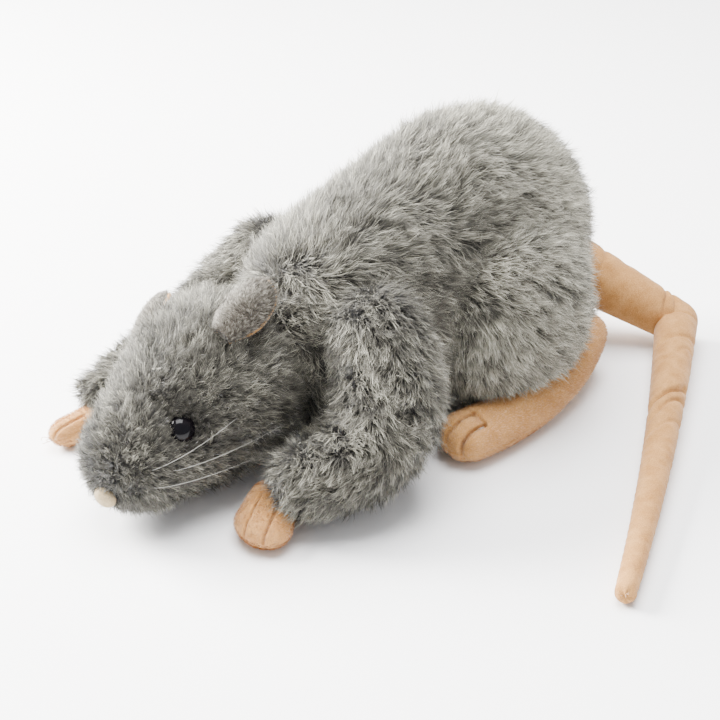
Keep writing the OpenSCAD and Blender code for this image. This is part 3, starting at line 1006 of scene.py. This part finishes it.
def tail_creases(start, end, creases, tip=None):
    """Slanting creases across a soft tube, and gathers where it is drawn in at the tip.

    A crease is its distance from the start, its slant, its width in millimetres, its strength and
    the side of the tube that it is deepest on, in degrees.
    """
    ahead = unit(vec(end) - vec(start))
    beside = unit(np.cross((0, 0, 1), ahead))

    def sewing(p, n):
        along, off = (p - vec(start)) @ ahead, (p - vec(start)) @ beside
        turn = np.arctan2(n[:, 2], n @ beside)
        wander = wavy(p * MM, 16 * MM, len(creases))[:, 0]
        depth = 0.10 * (0.5 + 0.5 * np.cos(along * 0.9 + wander)) * smooth(n @ beside, -1, 0.2)
        for place, slant, width, strength, where in creases:
            gap = along - place + slant * off + wander * 0.8
            facing = 0.5 + 0.5 * np.cos(turn - math.radians(where))
            depth = depth + strength * np.exp(-((gap / width) ** 2)) * smooth(facing, 0.15, 0.9)
        if tip is not None:
            folds = 0.5 + 0.5 * np.cos(6 * np.arctan2(p[:, 2] - tip[2], (p - vec(tip)) @ beside))
            depth = depth + 0.9 * folds * near(p * MM, vec(tip) + ahead * 4, 4)
        return depth

    return sewing


# distance, slant, width, strength, deepest side
ROOT_CREASES = [
    (17, 0.1, 2.2, 0.8, 100),
    (30, -0.2, 2.6, 0.5, 120),
    (58, 0.3, 1.5, 1.2, 90),
    (64, 0.5, 1.3, 1.8, 100),
]
END_CREASES = [
    (0, 0.9, 1.3, 1.4, 80),
    (9, 0.5, 1.2, 0.6, 50),
    (34, 0.8, 1.9, 1.3, 70),
    (52, 1.1, 1.5, 0.5, 40),
    (88, 1.2, 2.4, 2.8, 85),
    (101, 1.3, 2.0, 1.6, 60),
    (118, 1.2, 2.2, 0.8, 50),
    (150, 0.8, 2.2, 0.4, 60),
]

root_sizes = [TAIL_RADII[0], (TAIL_RADII[0] + TAIL_RADII[1]) / 2, TAIL_RADII[1]]
root = Form(limb([TAIL_ROOT, mix(TAIL_ROOT, TAIL_FOLD, 0.5), TAIL_FOLD], root_sizes))
end = Form(limb([TAIL_FOLD, TAIL_MID, TAIL_TIP], TAIL_RADII[1:], 40))
velour(root, "tail_root_velour", 0.2, 1.4, "tail_root", ["tail_root_cover"],
       tail_creases(TAIL_ROOT, TAIL_FOLD, ROOT_CREASES), CREASE_DEPTH, 0, SHADED_TAIL_VELOUR)
velour(end, "tail_end_velour", 0.2, 1.3, "tail_end", ["tail_end_cover"],
       tail_creases(TAIL_FOLD, TAIL_TIP, END_CREASES, TAIL_TIP), CREASE_DEPTH, 0, SHADED_TAIL_VELOUR)
stuffing(root, "tail_root_core", 3.4, "tail_root", "tail_root_stuffing")
stuffing(end, "tail_end_core", 3.0, "tail_end", "tail_end_stuffing", floor=2)


def loose_threads(name, body, at, spread, seed, count=4):
    """Ends of sewing thread that curl out of a seam."""
    rng = np.random.default_rng(seed)
    threads = []
    for k in range(count):
        out = unit(vec(spread) + rng.normal(0, 0.7, 3) * (1, 1, 0.4))
        curl = unit(rng.normal(0, 1, 3) * (1, 1, 0.3))
        reach = rng.uniform(3, 7)
        steps = np.linspace(0, 1, 12)
        path = [vec(at) + out * reach * t + curl * reach * 0.45 * math.sin(math.pi * t) for t in steps]
        path = [np.maximum(q, (-999, -999, 0.4)) for q in path]
        threads.append(tube(f"{name}_{k}", path, np.full(12, 0.13)))
    return dress(joined(threads, name), THREAD, body, "velour")


paw_tip = vec(ARMS["right"]["paw"][1]) + vec((-11.0, 0.0, -1.5))
loose_threads("paw_threads", "arm_right", paw_tip, (-1, -0.2, 0.2), 71)
loose_threads("tail_threads", "tail_end", vec(TAIL_TIP) + vec((-2.6, -2.0, 1.6)), (-1, -0.8, 0.5), 73, 3)

# ---------------------------------------------------------------- stage


def light(name, size, power, place, target, colour=(1, 1, 1)):
    data = bpy.data.lights.new(name, "AREA")
    data.size = size
    data.energy = power
    data.color = colour
    obj = link(bpy.data.objects.new(name, data))
    obj.location = place
    obj.rotation_euler = (Vector(target) - Vector(place)).to_track_quat("-Z", "Y").to_euler()


def stage():
    size = 3.0
    mesh = bpy.data.meshes.new("floor")
    corners = [(-size, -size, 0), (size, -size, 0), (size, size, 0), (-size, size, 0)]
    mesh.from_pydata(corners, [], [(0, 1, 2, 3)])
    floor = link(bpy.data.objects.new("floor", mesh))
    mat, tree, shader = new_material("pale_table", 0.7)
    shader.inputs["Base Color"].default_value = (0.95, 0.95, 0.96, 1)
    floor.data.materials.append(mat)
    world = bpy.data.worlds.new("studio")
    world.use_nodes = True
    world.node_tree.nodes["Background"].inputs["Color"].default_value = (0.98, 0.98, 1.0, 1)
    world.node_tree.nodes["Background"].inputs["Strength"].default_value = 0.90
    bpy.context.scene.world = world
    light("window", 0.7, 160, (-0.60, 0.95, 0.70), (0, 0, 0.06), (1.0, 0.985, 0.95))
    light("ceiling", 1.2, 90, (0.1, 0.2, 1.5), (0, 0, 0.05))


def camera():
    azimuth, elevation, distance = math.radians(-37), math.radians(29.5), 0.70
    level = math.cos(elevation)
    back = Vector((math.sin(azimuth) * level, -math.cos(azimuth) * level, math.sin(elevation)))
    data = bpy.data.cameras.new("camera")
    data.lens = 70
    data.shift_x, data.shift_y = 0.021, -0.035
    obj = link(bpy.data.objects.new("camera", data))
    obj.location = Vector((0, -0.005, 0.050)) + back * distance
    obj.rotation_euler = back.to_track_quat("Z", "Y").to_euler()
    bpy.context.scene.camera = obj


stage()
camera()
